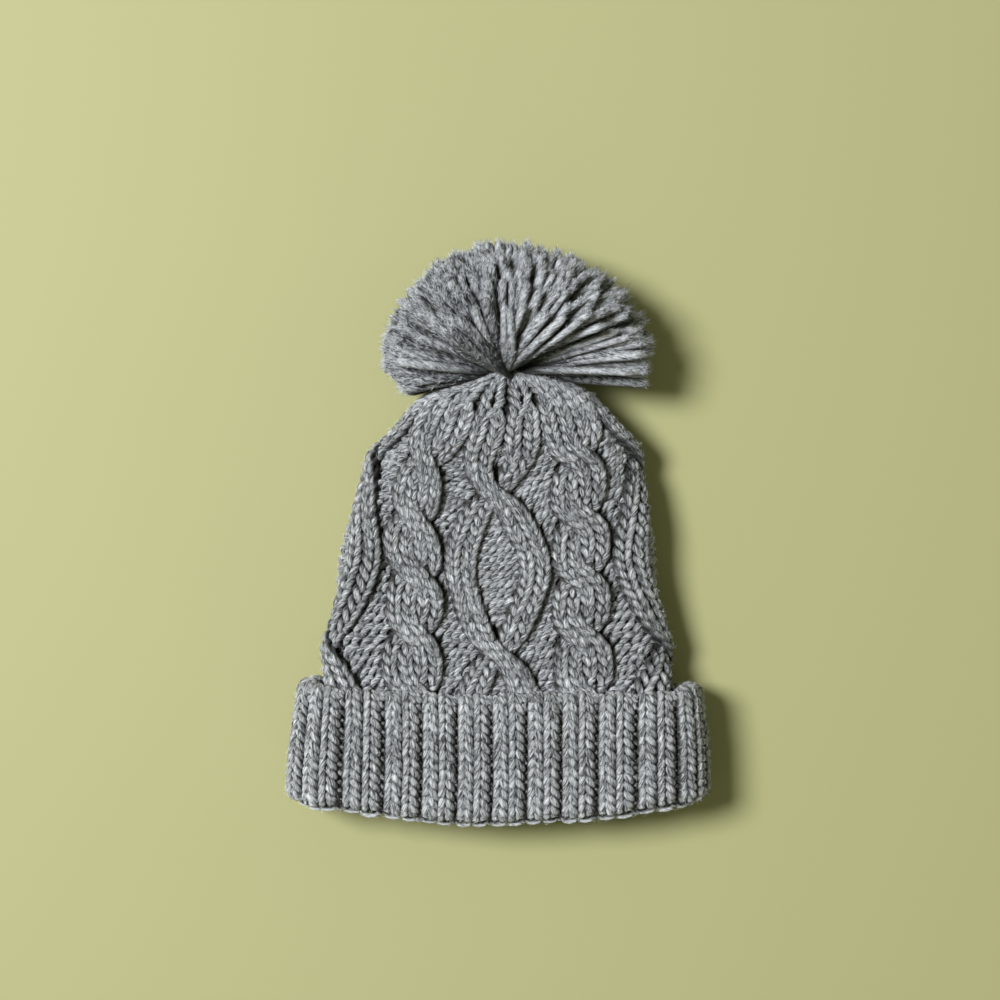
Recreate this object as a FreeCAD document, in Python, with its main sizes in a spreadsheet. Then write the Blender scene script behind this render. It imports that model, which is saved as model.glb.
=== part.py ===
import FreeCAD, Part
import math
import os

import Sketcher

# A knitted beanie with a turned-up ribbed cuff and a large pom-pom, lying flat on its back.
# Millimetres. The origin is the centre of the footprint on the table: +X is to the wearer's
# side, +Y runs from the mouth of the hat to the pom-pom, and +Z is up from the table.
#
# The soft pieces are plain closed solids of the right size and place. Each layer of cloth is
# one solid: the knitted crown, the band under the cuff, the cuff's outer layer and its fold.

doc = FreeCAD.newDocument("pom_pom_beanie")
sheet = doc.addObject("Spreadsheet::Sheet", "Sizes")

# The driving dimensions of the whole hat.
DRIVING_SIZES = {
    "HemY": -158.0,          # lowest point of the cuff's fold
    "HemBow": 10.0,          # how far the fold's two ends curve up towards the crown
    "FoldWidth": 230.0,      # across the fold
    "CuffTopY": -85.0,       # free edge of the cuff
    "CuffTopWidth": 213.0,
    "CuffThick": 50.0,       # four layers of rib and the gap between them
    "FoldDepth": 9.0,        # height of the fold, where both layers of the cuff meet
    "Ply": 8.5,              # one layer of chunky knitting
    "Slack": 0.5,            # room between the cuff and the band under it
    "Press": 0.4,            # how far the cuff's underside is pressed flat by the table
    "BandTopY": -92.0,       # where the ribbed band becomes the cabled crown
    "TipY": 82.0,            # gathered end of the crown
    "TipHoleRadius": 2.8,
    "TieX": 4.0,             # the pom-pom is tied a little off the middle
    "TieY": 85.5,
    "TieZ": 28.0,
    "TieCordRadius": 2.3,
    "GatherRing": 7.0,
    "GatherYarn": 2.0,
    "KnotRadius": 3.3,
    "KnotY": 57.0,
    "BindingRing": 4.6,
    "BindingYarn": 1.8,
    "BindingGap": 1.0,
    "PomMiddleX": 8.0,       # the strands are longer on one side of the tie
    "PomRadius": 72.5,
    "PomHeight": 88.0,
    "PomGap": 6.0,           # from the tie to the flat back of the pom-pom's solid
    "PomWaist": 11.0,        # radius of the space round the tie that the strands leave
}

# Outline of the crown from the band to the tip: each station has its place along Y, its
# width and thickness, and the height of its middle above the table.
CROWN_STATIONS = [
    (-92.0, 193.0, 30.5, 24.6),
    (-83.0, 192.0, 31.0, 24.4),
    (-66.0, 189.0, 35.0, 21.5),
    (-16.0, 175.0, 38.0, 20.8),
    (33.0, 155.0, 37.0, 21.5),
    (55.0, 131.0, 33.0, 23.5),
    (71.0, 98.0, 26.0, 26.5),
    (82.0, 34.0, 14.0, 28.0),
]
CAVITY_STATIONS = len(CROWN_STATIONS) - 1    # the cavity stops short of the tip

row = 0


def set_cell(alias, value):
    """Add one named number to the sheet."""
    global row
    row += 1
    sheet.set("A%d" % row, alias)
    sheet.set("B%d" % row, "%.4f" % value)
    sheet.setAlias("B%d" % row, alias)


for alias, value in DRIVING_SIZES.items():
    set_cell(alias, value)
for index, station in enumerate(CROWN_STATIONS):
    for quantity, value in zip(("CrownY", "CrownWide", "CrownThick", "CrownMid"), station):
        set_cell("%s_%d" % (quantity, index), value)
doc.recompute()


def cell(alias):
    """The same dimension as an expression."""
    return "Sizes." + alias


def new_body(name):
    body = doc.addObject("PartDesign::Body", name)
    body.Label = name
    return body


def origin_plane(body, role):
    return next(f for f in body.Origin.OriginFeatures if f.Role == role)


def new_sketch(body, name, role, offset):
    """A sketch on one of the body's own planes, moved along its normal by an expression."""
    sketch = body.newObject("Sketcher::SketchObject", name)
    sketch.AttachmentSupport = [(origin_plane(body, role), "")]
    sketch.MapMode = "FlatFace"
    sketch.setExpression(".AttachmentOffset.Base.z", offset)
    return sketch


def stadium(body, name, place, width, thickness, middle):
    """A flattened tube's section: two straight sides and two round ends, across the hat."""
    sketch = new_sketch(body, name, "XZ_Plane", "-1 * (%s)" % place)
    # Drawn near its final size; the constraints below set it exactly.
    half_straight, radius, mid = 60.0, 15.0, 25.0
    up = FreeCAD.Vector(0, radius, 0)
    right = FreeCAD.Vector(half_straight, mid, 0)
    left = FreeCAD.Vector(-half_straight, mid, 0)
    normal = FreeCAD.Vector(0, 0, 1)
    quarter = math.pi / 2
    top = sketch.addGeometry(Part.LineSegment(left + up, right + up))
    end_right = sketch.addGeometry(
        Part.ArcOfCircle(Part.Circle(right, normal, radius), -quarter, quarter))
    bottom = sketch.addGeometry(Part.LineSegment(right - up, left - up))
    end_left = sketch.addGeometry(
        Part.ArcOfCircle(Part.Circle(left, normal, radius), quarter, 3 * quarter))
    add = sketch.addConstraint
    add(Sketcher.Constraint("Tangent", top, 2, end_right, 2))
    add(Sketcher.Constraint("Tangent", end_right, 1, bottom, 1))
    add(Sketcher.Constraint("Tangent", bottom, 2, end_left, 2))
    add(Sketcher.Constraint("Tangent", end_left, 1, top, 1))
    add(Sketcher.Constraint("Horizontal", top))
    add(Sketcher.Constraint("Symmetric", end_left, 3, end_right, 3, -2))
    round_end = add(Sketcher.Constraint("Radius", end_right, radius))
    straight = add(
        Sketcher.Constraint("DistanceX", end_left, 3, end_right, 3, 2 * half_straight))
    height = add(Sketcher.Constraint("DistanceY", -1, 1, end_right, 3, mid))
    sketch.setExpression("Constraints[%d]" % round_end, "(%s) / 2" % thickness)
    sketch.setExpression("Constraints[%d]" % straight, "(%s) - (%s)" % (width, thickness))
    sketch.setExpression("Constraints[%d]" % height, middle)
    return sketch


def loft(body, kind, name, sections, ruled=False):
    """Join sections into a tube, added to the body or cut from it."""
    feature = body.newObject("PartDesign::%sLoft" % kind, name)
    feature.Profile = sections[0]
    feature.Sections = sections[1:]
    feature.Ruled = ruled
    for section in sections:
        section.Visibility = False
    return feature


def hem_cut(body, name, place, upwards=False):
    """Cut the body along a shallow arc across the hat, away from one side of it."""
    sketch = new_sketch(body, name + "_line", "XY_Plane", "0")
    # Drawn near its final size; the constraints below set it exactly.
    reach, bow, middle, arc_radius = 150.0, 10.0, -150.0, 1130.0
    depth = 60.0 if upwards else -60.0
    away = FreeCAD.Vector(0, depth, 0)
    start = FreeCAD.Vector(-reach, middle + bow, 0)
    end = FreeCAD.Vector(reach, middle + bow, 0)
    arc = sketch.addGeometry(Part.Arc(start, FreeCAD.Vector(0, middle, 0), end))
    side_right = sketch.addGeometry(Part.LineSegment(end, end + away))
    across = sketch.addGeometry(Part.LineSegment(end + away, start + away))
    side_left = sketch.addGeometry(Part.LineSegment(start + away, start))
    add = sketch.addConstraint
    add(Sketcher.Constraint("Coincident", arc, 2, side_right, 1))
    add(Sketcher.Constraint("Coincident", side_right, 2, across, 1))
    add(Sketcher.Constraint("Coincident", across, 2, side_left, 1))
    add(Sketcher.Constraint("Coincident", side_left, 2, arc, 1))
    add(Sketcher.Constraint("Vertical", side_right))
    add(Sketcher.Constraint("Vertical", side_left))
    add(Sketcher.Constraint("Symmetric", arc, 1, arc, 2, -2))
    add(Sketcher.Constraint("PointOnObject", arc, 3, -2))
    add(Sketcher.Constraint("DistanceY", side_right, 1, side_right, 2, depth))
    radius = add(Sketcher.Constraint("Radius", arc, arc_radius))
    centre = add(Sketcher.Constraint("DistanceY", -1, 1, arc, 3, middle + arc_radius))
    wide = add(Sketcher.Constraint("DistanceX", side_left, 2, side_right, 1, 2 * reach))
    # The arc rises by HemBow over half the fold's width.
    bow_radius = "((Sizes.FoldWidth / 2) ^ 2 + Sizes.HemBow ^ 2) / (2 * Sizes.HemBow)"
    sketch.setExpression("Constraints[%d]" % radius, bow_radius)
    sketch.setExpression("Constraints[%d]" % centre, "(%s) + %s" % (place, bow_radius))
    sketch.setExpression("Constraints[%d]" % wide, "1.3 * Sizes.FoldWidth")
    pocket = body.newObject("PartDesign::Pocket", name)
    pocket.Profile = sketch
    pocket.Type = "ThroughAll"
    pocket.SideType = "Symmetric"
    sketch.Visibility = False
    return pocket


def tube_section(body, name, place, width, layers):
    """A section of the cuff or the band, so many layers of cloth in from the outside."""
    inset = "2 * (%s)" % layers
    return stadium(body, name, place, "%s - %s" % (width, inset),
                   "Sizes.CuffThick - %s" % inset, "Sizes.CuffThick / 2 - Sizes.Press")


def flat_tube(body, name, low_width, outer_inset, inner_inset, top):
    """A ring of cloth from below the fold to the place given by top, tapering from low_width."""
    taper = "(%s - Sizes.CuffTopWidth) / (Sizes.CuffTopY - Sizes.HemY)" % low_width
    below = "Sizes.HemY - 2"
    above = "%s + 2" % top
    wide_below = "%s + 2 * %s" % (low_width, taper)
    wide_lowest = "%s + 3 * %s" % (low_width, taper)
    wide_top = "%s - (%s - Sizes.HemY) * %s" % (low_width, top, taper)
    wide_above = "%s - (%s + 2 - Sizes.HemY) * %s" % (low_width, top, taper)
    loft(body, "Additive", name + "_outside", [
        tube_section(body, name + "_outer_low", below, wide_below, outer_inset),
        tube_section(body, name + "_outer_high", top, wide_top, outer_inset)], True)
    solid = doc.getObject(name + "_outside")
    doc.recompute()
    before = solid.Shape.Volume
    hollow = loft(body, "Subtractive", name + "_inside", [
        tube_section(body, name + "_inner_low", "%s - 1" % below, wide_lowest, inner_inset),
        tube_section(body, name + "_inner_high", above, wide_above, inner_inset)], True)
    doc.recompute()
    if not hollow.Shape.Volume < 0.9 * before:
        raise RuntimeError(name + ": the hollow was not cut")


def press_flat(body, name):
    """Trim the body level with the table, which leaves a flat underside."""
    sketch = new_sketch(body, name + "_outline", "XY_Plane", "0")
    side = 150.0
    corners = [(-side, -2 * side), (side, -2 * side), (side, 0.0), (-side, 0.0)]
    points = [FreeCAD.Vector(x, y, 0) for x, y in corners]
    for start, end in zip(points, points[1:] + points[:1]):
        sketch.addGeometry(Part.LineSegment(start, end))
    for line in range(4):
        sketch.addConstraint(Sketcher.Constraint("Coincident", line, 2, (line + 1) % 4, 1))
    doc.recompute()
    before = body.Tip.Shape.Volume
    pocket = body.newObject("PartDesign::Pocket", name)
    pocket.Profile = sketch
    pocket.Type = "Length"
    pocket.Length = 10.0
    sketch.Visibility = False
    doc.recompute()
    if not 0 < before - pocket.Shape.Volume < 0.1 * before:
        raise RuntimeError(name + ": the underside was not trimmed")


# The crown: a flattened dome of cabled knitting with the head's space inside.
crown = new_body("crown_shell")


def crown_section(index, inset, name, shift="0"):
    return stadium(
        crown, "%s_%d" % (name, index), "Sizes.CrownY_%d + %s" % (index, shift),
        "Sizes.CrownWide_%d - 2 * %s" % (index, inset),
        "Sizes.CrownThick_%d - 2 * %s" % (index, inset), cell("CrownMid_%d" % index))


outside = loft(crown, "Additive", "crown_outside",
               [crown_section(i, "0", "crown_outer") for i in range(len(CROWN_STATIONS))])
doc.recompute()
crown_solid_volume = outside.Shape.Volume
inside = loft(crown, "Subtractive", "crown_inside",
              [crown_section(i, cell("Ply"), "crown_inner", "-0.5" if i == 0 else "0")
               for i in range(CAVITY_STATIONS)])
doc.recompute()
if not inside.Shape.Volume < 0.85 * crown_solid_volume:
    raise RuntimeError("the crown's cavity was not cut")

# The small hole that the gathering leaves at the tip, for the pom-pom's tie.
tip_sketch = new_sketch(crown, "tip_circle", "XZ_Plane", "-1 * (Sizes.TipY + 1)")
tip_circle = tip_sketch.addGeometry(
    Part.Circle(FreeCAD.Vector(4, 28, 0), FreeCAD.Vector(0, 0, 1), 2.8))
tip_radius = tip_sketch.addConstraint(Sketcher.Constraint("Radius", tip_circle, 2.8))
tip_x = tip_sketch.addConstraint(
    Sketcher.Constraint("DistanceX", -1, 1, tip_circle, 3, 4.0))
tip_z = tip_sketch.addConstraint(
    Sketcher.Constraint("DistanceY", -1, 1, tip_circle, 3, 28.0))
tip_sketch.setExpression("Constraints[%d]" % tip_radius, cell("TipHoleRadius"))
tip_sketch.setExpression("Constraints[%d]" % tip_x, cell("TieX"))
tip_sketch.setExpression("Constraints[%d]" % tip_z, cell("TieZ"))
tip_sketch.Visibility = False
before_hole = inside.Shape.Volume
tip_hole = crown.newObject("PartDesign::Pocket", "tip_hole")
tip_hole.Profile = tip_sketch
tip_hole.Type = "Length"
tip_hole.Reversed = False
tip_hole.setExpression("Length", "Sizes.TipY + 1 - Sizes.KnotY")
doc.recompute()
if not tip_hole.Shape.Volume < before_hole - 50:
    tip_hole.Reversed = True
    doc.recompute()
if not tip_hole.Shape.Volume < before_hole - 50:
    raise RuntimeError("the hole at the tip was not cut")

# The ribbed band under the cuff, which grips the head.
band = new_body("brim_band")
flat_tube(band, "band", "Sizes.CuffTopWidth", "(Sizes.Ply + Sizes.Slack)",
          "(2 * Sizes.Ply + Sizes.Slack)", "Sizes.BandTopY")
hem_cut(band, "band_hem", "Sizes.HemY + Sizes.FoldDepth + Sizes.Slack")

# The turned-up cuff's outer layer, from the fold to its free edge.
cuff = new_body("turned_up_cuff")
flat_tube(cuff, "cuff", "Sizes.FoldWidth", "0", "Sizes.Ply", "Sizes.CuffTopY")
hem_cut(cuff, "cuff_hem", "Sizes.HemY + Sizes.FoldDepth")
press_flat(cuff, "cuff_underside")

# The fold at the bottom of the cuff, where its two layers meet.
fold = new_body("cuff_fold")
flat_tube(fold, "fold", "Sizes.FoldWidth", "0",
          "(2 * Sizes.Ply + Sizes.Slack)", "Sizes.BandTopY")
hem_cut(fold, "fold_hem", "Sizes.HemY")
hem_cut(fold, "fold_top", "Sizes.HemY + Sizes.FoldDepth", True)
press_flat(fold, "fold_underside")


def place_along_y(piece, y, x="Sizes.TieX", z="Sizes.TieZ"):
    """Turn a primitive's own axis to +Y and put it on the line of the tie."""
    piece.Placement = FreeCAD.Placement(
        FreeCAD.Vector(), FreeCAD.Rotation(FreeCAD.Vector(1, 0, 0), -90))
    piece.setExpression(".Placement.Base.x", x)
    piece.setExpression(".Placement.Base.y", y)
    piece.setExpression(".Placement.Base.z", z)


# The drawn-up yarn that closes the crown, lying on its tip.
gather = doc.addObject("Part::Torus", "crown_gather")
gather.Label = "crown_gather"
gather.setExpression("Radius1", cell("GatherRing"))
gather.setExpression("Radius2", cell("GatherYarn"))
place_along_y(gather, "Sizes.TipY + Sizes.GatherYarn")

# The knot inside the crown that holds the pom-pom's tie.
knot = doc.addObject("Part::Sphere", "anchor_knot")
knot.Label = "anchor_knot"
knot.setExpression("Radius", cell("KnotRadius"))
place_along_y(knot, "Sizes.KnotY")

# The tie that runs from the knot through the tip to the pom-pom's binding.
tie = doc.addObject("Part::Cylinder", "tie_cord")
tie.Label = "tie_cord"
tie.setExpression("Radius", cell("TieCordRadius"))
tie.setExpression("Height", "Sizes.TieY - Sizes.KnotY")
place_along_y(tie, "Sizes.KnotY")

# Two turns of yarn that bind the middle of the pom-pom's strands.
binding = doc.addObject("Part::Torus", "pom_binding")
binding.Label = "pom_binding"
binding.setExpression("Radius1", cell("BindingRing"))
binding.setExpression("Radius2", cell("BindingYarn"))
place_along_y(binding, "Sizes.TieY + Sizes.BindingGap + Sizes.BindingYarn")

# The pom-pom: strands that fan out from the tie, flattened where they lie on the table.
def level_ball(name, radius, middle_x):
    """A ball level with the tie, at a place across the hat."""
    ball = doc.addObject("Part::Sphere", name)
    ball.setExpression("Radius", radius)
    ball.setExpression(".Placement.Base.x", middle_x)
    ball.setExpression(".Placement.Base.y", cell("TieY"))
    ball.setExpression(".Placement.Base.z", cell("TieZ"))
    return ball


pom_space = doc.addObject("Part::Box", "pom_space")
pom_space.setExpression("Length", "2 * Sizes.PomRadius + 4")
pom_space.setExpression("Width", "Sizes.PomRadius + 4")
pom_space.setExpression("Height", cell("PomHeight"))
pom_space.setExpression(".Placement.Base.x", "Sizes.PomMiddleX - Sizes.PomRadius - 2")
pom_space.setExpression(".Placement.Base.y", "Sizes.TieY + Sizes.PomGap")
pom_dome = doc.addObject("Part::Common", "pom_dome")
pom_dome.Base = level_ball("pom_ball", cell("PomRadius"), cell("PomMiddleX"))
pom_dome.Tool = pom_space
pom = doc.addObject("Part::Cut", "pom_strands")
pom.Label = "pom_strands"
pom.Base = pom_dome
pom.Tool = level_ball("pom_waist", cell("PomWaist"), cell("TieX"))

doc.recompute()

SUB_PARTS = [crown, band, cuff, fold, gather, knot, tie, binding, pom]

for item in doc.Objects:
    if "Invalid" in item.State or "Error" in item.State:
        raise RuntimeError("%s failed: %s" % (item.Name, item.State))
os.makedirs("parts", exist_ok=True)
for piece in SUB_PARTS:
    shape = piece.Shape
    if shape.isNull() or not shape.isValid() or not shape.Solids:
        raise RuntimeError("%s has no valid solid" % piece.Label)
for piece in SUB_PARTS:
    shape = piece.Shape
    shape.exportStep("parts/%s.step" % piece.Label)
    box = shape.optimalBoundingBox(False, False)
    print("%-16s %d solid  %9.0f mm3  x %.1f %.1f  y %.1f %.1f  z %.1f %.1f" % (
        piece.Label, len(shape.Solids), shape.Volume,
        box.XMin, box.XMax, box.YMin, box.YMax, box.ZMin, box.ZMax))
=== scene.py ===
import math
from collections import namedtuple

import bpy
import numpy as np
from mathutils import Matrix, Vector


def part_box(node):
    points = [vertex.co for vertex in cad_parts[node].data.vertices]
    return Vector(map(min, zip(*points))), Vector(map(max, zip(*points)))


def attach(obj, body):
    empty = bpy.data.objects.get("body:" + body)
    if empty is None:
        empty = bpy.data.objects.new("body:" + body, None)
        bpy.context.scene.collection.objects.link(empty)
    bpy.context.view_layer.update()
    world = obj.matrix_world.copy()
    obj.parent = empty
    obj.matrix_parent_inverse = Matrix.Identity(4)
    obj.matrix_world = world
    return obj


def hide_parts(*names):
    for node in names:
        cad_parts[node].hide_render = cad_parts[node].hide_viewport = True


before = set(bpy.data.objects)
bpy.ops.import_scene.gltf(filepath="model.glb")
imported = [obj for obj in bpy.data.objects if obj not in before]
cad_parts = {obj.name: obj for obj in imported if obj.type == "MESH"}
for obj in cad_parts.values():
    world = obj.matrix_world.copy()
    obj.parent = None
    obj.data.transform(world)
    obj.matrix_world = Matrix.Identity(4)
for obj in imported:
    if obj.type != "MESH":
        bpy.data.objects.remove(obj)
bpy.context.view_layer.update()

# A chunky cable-knit beanie with a ribbed, turned-up cuff and a pom-pom, knitted stitch by stitch.
# Every length is in millimetres until a mesh is built. +X runs across the hat, +Y to the pom-pom.

MM = 0.001
TAU = 2 * math.pi
rng = np.random.default_rng(11)

# ---------------- places from the frame


def box_mm(node):
    low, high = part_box(node)
    return np.array(low) * 1000, np.array(high) * 1000


crown_low, crown_high = box_mm("crown_shell")
band_low, band_high = box_mm("brim_band")
cuff_low, cuff_high = box_mm("turned_up_cuff")
fold_low, fold_high = box_mm("cuff_fold")
gather_low, gather_high = box_mm("crown_gather")
knot_low, knot_high = box_mm("anchor_knot")
cord_low, cord_high = box_mm("tie_cord")
ring_low, ring_high = box_mm("pom_binding")
pom_low, pom_high = box_mm("pom_strands")

TIE_X = (gather_low[0] + gather_high[0]) / 2
TIE_Y = (gather_low[1] + gather_high[1]) / 2
TIE_Z = (gather_low[2] + gather_high[2]) / 2
CUFF_TOP = cuff_high[1]
CUFF_THICK = cuff_high[2]
HEM_Y = fold_low[1]
FLOOR_GAP = 0.1  # the yarn stays this far above the table

# The crown is a flattened tube: place along Y, width, thickness, height of its middle, shift along X.
CROWN = np.array([
    [crown_low[1], 193.0, 30.5, 24.6, 0.0],
    [CUFF_TOP + 2, 192.0, 31.0, 24.4, 0.0],
    [-66.0, 186.5, 35.0, 21.5, -1.3],
    [-40.0, 185.0, 36.0, 20.2, -0.8],
    [-16.0, 179.5, 37.0, 19.6, -0.8],
    [8.0, 172.0, 37.0, 19.8, 0.7],
    [33.0, 153.0, 36.0, 20.6, 3.6],
    [55.0, 127.0, 33.0, 23.5, 5.6],
    [71.0, 100.0, 27.0, 27.0, 5.6],
    [crown_high[1], 46.0, 18.0, 29.0, 5.2],
    [TIE_Y + 2, 12.0, 11.0, TIE_Z + 1, TIE_X],
])
CROWN_ROWS = 36  # rows of stitches from the cuff's edge to the gather
REPEAT = 90.0  # width of one of the crown's four repeats of its pattern
ROUND = 4 * REPEAT
TRUE_ROUND = 356.0  # the pattern is true to size where the crown measures this much round
GRID = 0.5  # spacing of a skin's points across the hat


# ---------------- small shape tools


def through(q, knots, values):
    """A smooth curve through values at knots, read at q."""
    slope = np.gradient(values, knots)
    i = np.clip(np.searchsorted(knots, q) - 1, 0, len(knots) - 2)
    h = knots[i + 1] - knots[i]
    t = (q - knots[i]) / h
    t2, t3 = t * t, t * t * t
    return (
        (2 * t3 - 3 * t2 + 1) * values[i]
        + (t3 - 2 * t2 + t) * h * slope[i]
        + (3 * t2 - 2 * t3) * values[i + 1]
        + (t3 - t2) * h * slope[i + 1]
    )


def ease(x, a, b):
    """0 before a, 1 after b, and a smooth step between."""
    t = np.clip((x - a) / (b - a), 0, 1)
    return t * t * (3 - 2 * t)


def unit(a):
    return a / np.maximum(np.linalg.norm(a, axis=-1, keepdims=True), 1e-9)


def stadium(s, width, thick, mid, inward=0.0):
    """x and z on a flattened tube, some way inside it. s is the arc length from the middle of its top."""
    r = thick / 2
    flat = np.maximum(width - thick, 0) / 2
    half = 2 * flat + math.pi * r
    s = (s + half) % (2 * half) - half
    a = np.abs(s)
    turn = np.clip((a - flat) / r, 0, math.pi)
    under = np.maximum(a - flat - math.pi * r, 0)
    x = np.minimum(a, flat) + (r - inward) * np.sin(turn) - under
    return np.sign(s) * x, mid + (r - inward) * np.cos(turn)


def stadium_round(width, thick):
    return 2 * (width - thick) + math.pi * thick


def spread(x, quarter, per, keep):
    """Arc length of lateral place x, true to size in the middle. quarter is a quarter way round."""
    side = np.where(x < 0, -1.0, 1.0)
    a = np.abs(x)
    near = np.where(a > quarter, 2 * quarter - a, a)
    bend = np.maximum(near - quarter / 3, 0) / (quarter * 2 / 3)
    s = keep * near + (per / 4 - keep * quarter) * bend * bend
    return side * np.where(a > quarter, per / 2 - s, s)


def by_arc(points, v_of, v_grid):
    """Points of a grid moved along its columns, from places v_of to the even places v_grid."""
    out = np.empty((len(v_grid), points.shape[1], 3))
    for i in range(points.shape[1]):
        for k in range(3):
            out[:, i, k] = np.interp(v_grid, v_of[:, i], points[:, i, k])
    return out


def soft_warp(points, size, seed):
    """Slow, small unevenness of hand-laid knitting."""
    r = np.random.default_rng(seed)
    out = points.copy()
    for _ in range(7):
        k = r.normal(0, 1, 3) * 0.035
        phase = r.uniform(0, TAU)
        push = r.normal(0, 1, 3) * size * np.array([1, 1, 0.6]) / 2.6
        out += np.sin(points @ k + phase)[..., None] * push
    return out


class Skin:
    """A soft surface that rows of stitches lie on: x runs round it and v runs along it, in rows."""

    def __init__(self, points, x_low, x_step, v_low, v_step, outward=1):
        self.p = points
        self.outward = outward
        self.x_low, self.x_step, self.v_low, self.v_step = x_low, x_step, v_low, v_step
        du = np.roll(points, -1, 1) - np.roll(points, 1, 1)
        dv = np.gradient(points, axis=0)
        self.n = unit(np.cross(du, dv)) * outward

    def read(self, grid, x, v):
        rows, cols = grid.shape[:2]
        i = np.clip((v - self.v_low) / self.v_step, 0, rows - 1.001)
        j = ((x - self.x_low) / self.x_step) % cols
        i0, j0 = i.astype(int), j.astype(int)
        fi, fj = (i - i0)[..., None], (j - j0)[..., None]
        j0 = j0 % cols
        j1 = (j0 + 1) % cols
        low = grid[i0, j0] * (1 - fj) + grid[i0, j1] * fj
        high = grid[i0 + 1, j0] * (1 - fj) + grid[i0 + 1, j1] * fj
        return low * (1 - fi) + high * fi

    def at(self, x, v, h):
        """The point at height h above the skin, and the direction away from the skin there."""
        n = unit(self.read(self.n, x, v))
        return self.read(self.p, x, v) + n * h[..., None], n


def crown_skin():
    """The crown's surface, how far its pattern keeps its width along it, and the places v of both."""
    v_low, v_step = -1.9, 0.1
    chord = np.hypot(np.diff(CROWN[:, 0]), np.diff(CROWN[:, 1]) / 2)
    chord = np.concatenate([[0], np.cumsum(chord)])
    q = np.linspace(0, chord[-1], 420)
    y, w, t, mid, shift = (through(q, chord, CROWN[:, k]) for k in range(5))
    x_ref = np.arange(-ROUND / 2, ROUND / 2, GRID)
    per = stadium_round(w, t)
    keep = 1 / (1 + (TRUE_ROUND / per) ** 12) ** (1 / 12)
    s = spread(x_ref[None, :], REPEAT, per[:, None], keep[:, None])
    sideways = shift * np.clip(per / TRUE_ROUND, 0, 1) * (1 - ease(y, 20, 70))
    s = s - sideways[:, None] * np.cos(x_ref * math.pi / 180)[None, :]
    x, z = stadium(s, w[:, None], t[:, None], mid[:, None])
    camber = 0.25 * np.clip(np.abs(x) * 2 / w[:, None], 0, 1) ** 3
    z = mid[:, None] + (z - mid[:, None]) * (1 - camber * (z > mid[:, None]))
    pts = np.stack([x + shift[:, None], np.broadcast_to(y[:, None], x.shape), z], -1)
    run = np.cumsum(np.linalg.norm(np.diff(pts, axis=0), axis=2), 0)
    run = np.concatenate([np.zeros((1, len(x_ref))), run])
    zero = np.argmin(np.abs(y - CUFF_TOP))
    v_of = CROWN_ROWS * (run - run[zero]) / (run[-1] - run[zero])
    v_grid = np.arange(v_low, CROWN_ROWS + 0.01, v_step)
    grid = soft_warp(by_arc(pts, v_of, v_grid), 1.1, 3)
    front = np.argmin(np.abs(x_ref))
    return Skin(grid, -ROUND / 2, GRID, v_low, v_step), np.interp(v_grid, v_of[:, front], keep), v_grid


# ---------------- yarn as mesh

PLIES = 3
HAIR_POINTS = 7
MOST_TRIANGLES = 130000  # a piece of knitting ends with the row that passes this


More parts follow.
